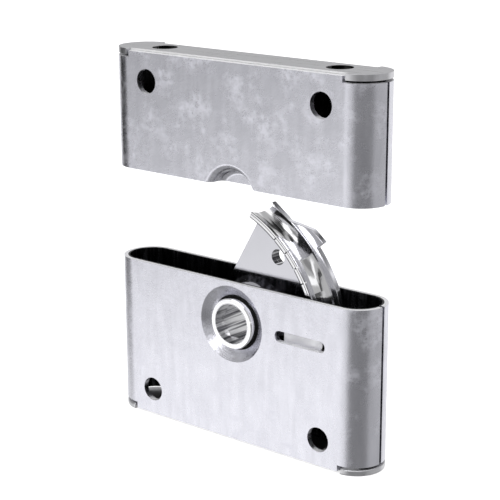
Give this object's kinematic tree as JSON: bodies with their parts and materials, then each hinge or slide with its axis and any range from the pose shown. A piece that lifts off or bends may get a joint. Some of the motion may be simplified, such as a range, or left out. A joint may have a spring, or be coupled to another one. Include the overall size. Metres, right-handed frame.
{
  "type": "coffin lock",
  "caption": "Mortise-in coffin lock of wrapped sheet steel: a hexagon key turns a rotary hook out of one half and over dimples in the other, drawing two panels together.",
  "frame": {"origin": "under the middle of the male half's end plate, at the middle of the lock's length and thickness", "axes": "+X along the lock's length towards its seam end, -Y towards the face with the slot, +Z from the male half to the female half"},
  "size_m": [0.101, 0.018, 0.1206],
  "materials": {
    "zinc_plated_sheet": "cloudy satin zinc plating on sheet steel",
    "bright_plated_steel": "bright plated",
    "spring_steel": "satin spring steel",
    "black_acetal": "matt black moulded"
  },
  "bodies": {
    "male_half": {"male_shell": "zinc_plated_sheet", "male_end_plate": "zinc_plated_sheet", "front_bush": "black_acetal", "back_bush": "black_acetal", "spring_washer": "spring_steel", "detent_leaf": "spring_steel", "open_stop_pin": "bright_plated_steel", "locked_stop_pin": "bright_plated_steel"},
    "hook": {"drive_hub": "bright_plated_steel", "clamp_ring": "bright_plated_steel", "hook_front_sheet": "bright_plated_steel", "hook_back_sheet": "bright_plated_steel", "hook_rim": "bright_plated_steel", "hook_guard": "bright_plated_steel", "hook_rivets": "bright_plated_steel"},
    "female_half": {"female_shell": "zinc_plated_sheet", "female_end_plate": "zinc_plated_sheet"}
  },
  "joints": [
    {"name": "hook_turn", "type": "hinge", "parent": "male_half", "child": "hook", "pos_m": [0, 0, 0.0386], "axis": [0, -1, 0], "range_deg": [-64, 136]},
    {"name": "panel_gap", "type": "slide", "parent": "male_half", "child": "female_half", "axis": [0, 0, 1], "range_m": [-0.005, 0.02]}
  ]
}
